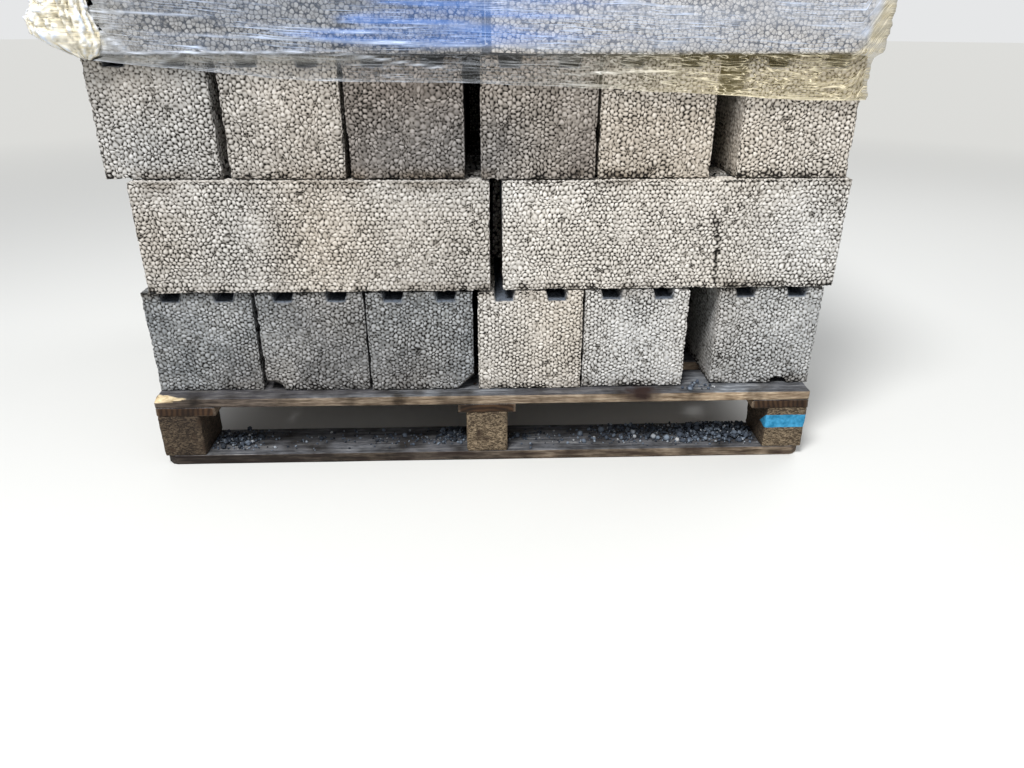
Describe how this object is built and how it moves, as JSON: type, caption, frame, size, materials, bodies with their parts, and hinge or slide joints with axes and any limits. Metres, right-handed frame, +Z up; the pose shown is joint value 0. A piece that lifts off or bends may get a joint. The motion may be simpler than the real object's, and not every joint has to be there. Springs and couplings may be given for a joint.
{
  "type": "pallet of concrete blocks",
  "caption": "Wooden pallet loaded with lightweight expanded-clay concrete blocks in crosswise courses, the top course held by clear stretch film.",
  "frame": {"origin": "on the floor under the middle of the pallet", "axes": "+Z up, the front that shows the block ends faces -Y, +X to the right along the pallet's long side"},
  "size_m": [1.3039, 0.8296, 0.8976],
  "materials": {
    "block_dry": "open-textured pale grey-beige concrete of round clay pellets",
    "block_damp": "the same concrete, darker where damp",
    "board_wood": "weathered sawn softwood",
    "chipboard": "pressed wood chips, weathered",
    "stretch_film": "clear thin polyethylene film, wrinkled and glossy",
    "marking_paint": "bright blue paint band, a little worn"
  },
  "bodies": {
    "root": {"bottom_board_back": "board_wood", "bottom_board_front": "board_wood", "bottom_board_middle": "board_wood", "course_1_back_row_left": "block_dry", "course_1_back_row_right": "block_dry", "course_1_end_block_1": "block_damp", "course_1_end_block_2": "block_damp", "course_1_end_block_3": "block_damp", "course_1_end_block_4": "block_dry", "course_1_end_block_5": "block_dry", "course_1_end_block_6": "block_dry", "course_2_back_row_left": "block_dry", "course_2_back_row_right": "block_dry", "course_2_front_row_left": "block_dry", "course_2_front_row_right": "block_dry", "course_2_second_row_left": "block_dry", "course_2_second_row_right": "block_dry", "course_2_third_row_left": "block_dry", "course_2_third_row_right": "block_dry", "course_3_back_row_left": "block_dry", "course_3_back_row_right": "block_dry", "course_3_end_block_1": "block_dry", "course_3_end_block_2": "block_dry", "course_3_end_block_3": "block_damp", "course_3_end_block_4": "block_damp", "course_3_end_block_5": "block_dry", "course_3_end_block_6": "block_dry", "course_4_back_row_left": "block_dry", "course_4_back_row_right": "block_dry", "course_4_front_row_left": "block_dry", "course_4_front_row_right": "block_dry", "course_4_second_row_left": "block_dry", "course_4_second_row_right": "block_dry", "course_4_third_row_left": "block_dry", "course_4_third_row_right": "block_dry", "cross_board_left": "board_wood", "cross_board_middle": "board_wood", "cross_board_right": "board_wood", "deck_board_1": "board_wood", "deck_board_2": "board_wood", "deck_board_3": "board_wood", "deck_board_4": "board_wood", "deck_board_5": "board_wood", "deck_board_6": "board_wood", "spacer_back_left": "chipboard", "spacer_back_middle": "chipboard", "spacer_back_right": "chipboard", "spacer_front_left": "chipboard", "spacer_front_middle": "chipboard", "spacer_front_right": "chipboard", "spacer_middle_left": "chipboard", "spacer_middle_middle": "chipboard", "spacer_middle_right": "chipboard", "stretch_film": "stretch_film"}
  },
  "joints": []
}
